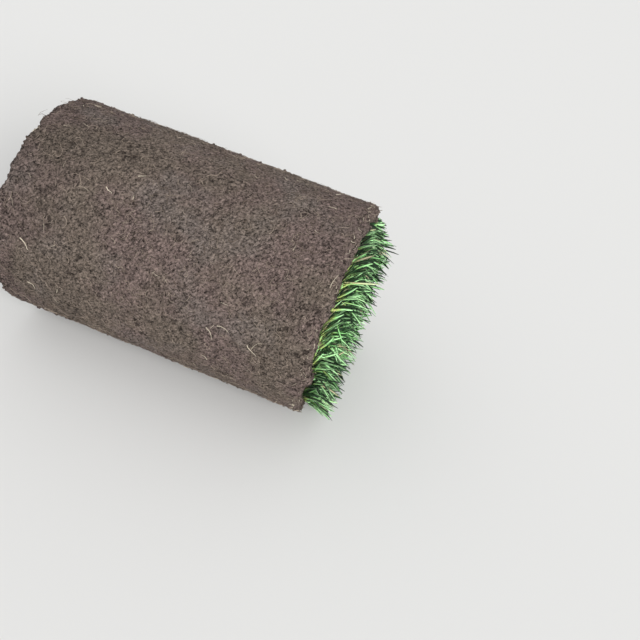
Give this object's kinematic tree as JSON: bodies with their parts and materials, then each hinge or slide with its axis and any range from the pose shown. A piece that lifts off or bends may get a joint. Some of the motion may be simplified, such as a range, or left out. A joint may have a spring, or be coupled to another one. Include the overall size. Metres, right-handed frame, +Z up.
{
  "type": "turf roll",
  "caption": "Rolled strip of turf lying on its side, wound soil side out round a small open eye, with the grass of its turns standing out as a spiral ridge at one end.",
  "frame": {"origin": "centre of the bounding box's underside, on the level floor that the roll lies on", "axes": "+X along the roll's axis, +Z up; the strip's outer cut end lies under the roll on the +Y side"},
  "size_m": [0.432, 0.2906, 0.2734],
  "materials": {
    "turf": "matte"
  },
  "bodies": {
    "root": {"turf_roll": "turf"}
  },
  "joints": []
}
